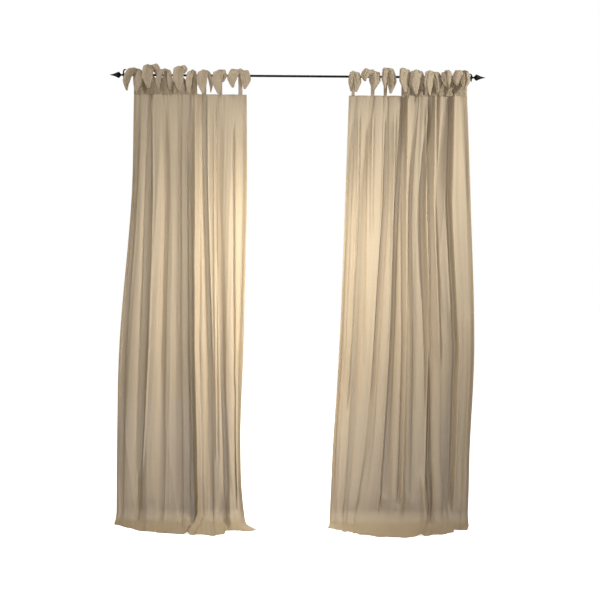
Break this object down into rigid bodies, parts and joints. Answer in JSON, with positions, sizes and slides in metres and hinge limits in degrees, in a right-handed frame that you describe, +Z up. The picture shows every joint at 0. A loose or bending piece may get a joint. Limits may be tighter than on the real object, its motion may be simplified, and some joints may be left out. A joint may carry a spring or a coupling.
{
  "type": "tie-top sheer curtain pair and rod",
  "caption": "Pair of tie-top sheer curtain panels hanging from one slim black rod with spear finials, their hems breaking on the floor.",
  "frame": {"origin": "on the rod's axis, midway between the finial tips", "axes": "+X along the rod to the right seen from the room, -Y into the room, +Z up"},
  "size_m": [1.7246, 0.222, 2.1363],
  "materials": {
    "sheer_cloth": "sheer plain-weave polyester voile, taupe",
    "tie_cloth": "the same voile, doubled and sewn into strips",
    "black_iron": "satin black paint on iron"
  },
  "bodies": {
    "root": {"rod": "black_iron", "finial_left": "black_iron", "finial_right": "black_iron", "panel_left": "sheer_cloth", "panel_right": "sheer_cloth", "tie_left_1": "tie_cloth", "tie_left_2": "tie_cloth", "tie_left_3": "tie_cloth", "tie_left_4": "tie_cloth", "tie_left_5": "tie_cloth", "tie_left_6": "tie_cloth", "tie_left_7": "tie_cloth", "tie_left_8": "tie_cloth", "tie_right_1": "tie_cloth", "tie_right_2": "tie_cloth", "tie_right_3": "tie_cloth", "tie_right_4": "tie_cloth", "tie_right_5": "tie_cloth", "tie_right_6": "tie_cloth", "tie_right_7": "tie_cloth", "tie_right_8": "tie_cloth"}
  },
  "joints": []
}
